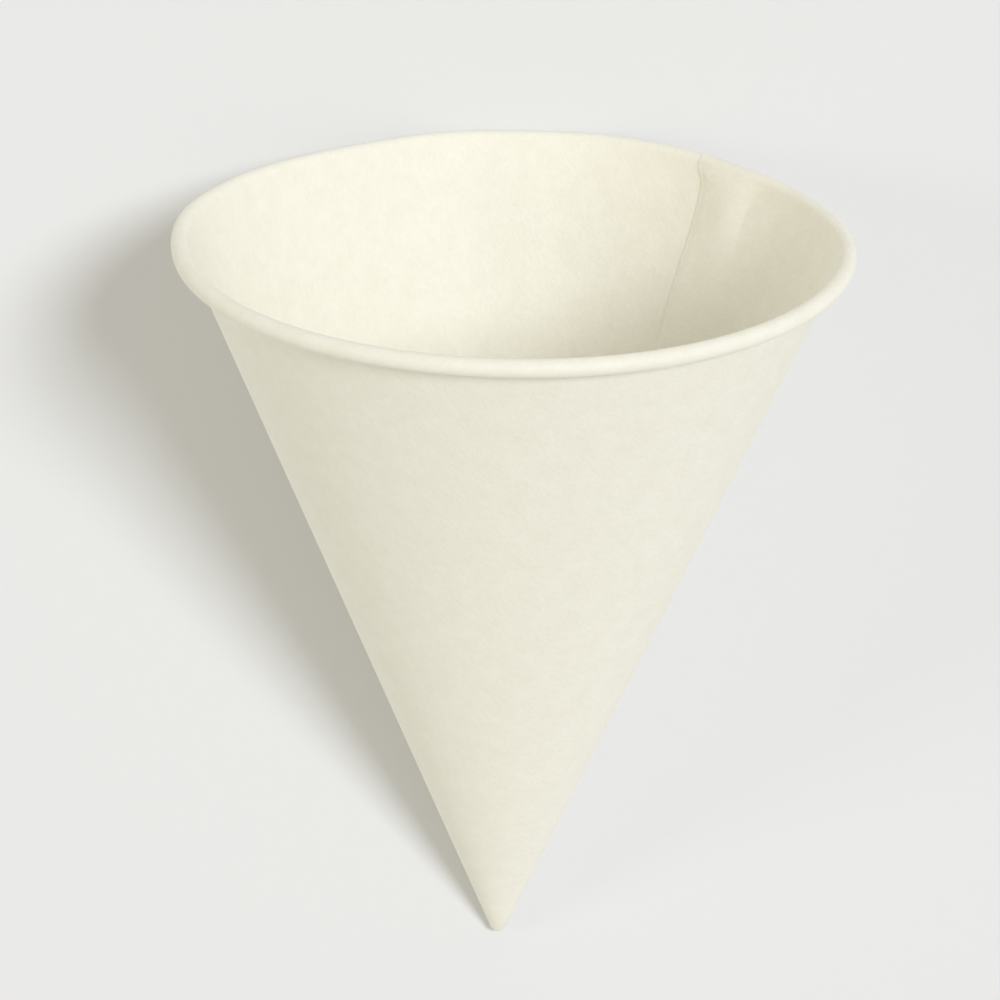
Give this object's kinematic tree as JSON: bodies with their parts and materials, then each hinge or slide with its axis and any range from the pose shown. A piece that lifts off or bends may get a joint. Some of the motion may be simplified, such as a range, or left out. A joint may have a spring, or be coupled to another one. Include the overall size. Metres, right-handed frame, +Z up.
{
  "type": "cone paper cup",
  "caption": "Cone-shaped drinking cup wound from one sheet of white paper, with a lapped side seam, a sealed point and an outward rolled rim.",
  "frame": {"origin": "middle of the footprint of the cup as it lies on its side, on the floor", "axes": "+Z up from the floor, +Y towards the mouth along the side the cup lies on, so the cup's own axis climbs 21.8 degrees from the tip towards +Y; the point is at the -Y end"},
  "size_m": [0.077, 0.1024, 0.0717],
  "materials": {
    "cup_paper": "matte"
  },
  "bodies": {
    "root": {"cone_cup": "cup_paper"}
  },
  "joints": []
}
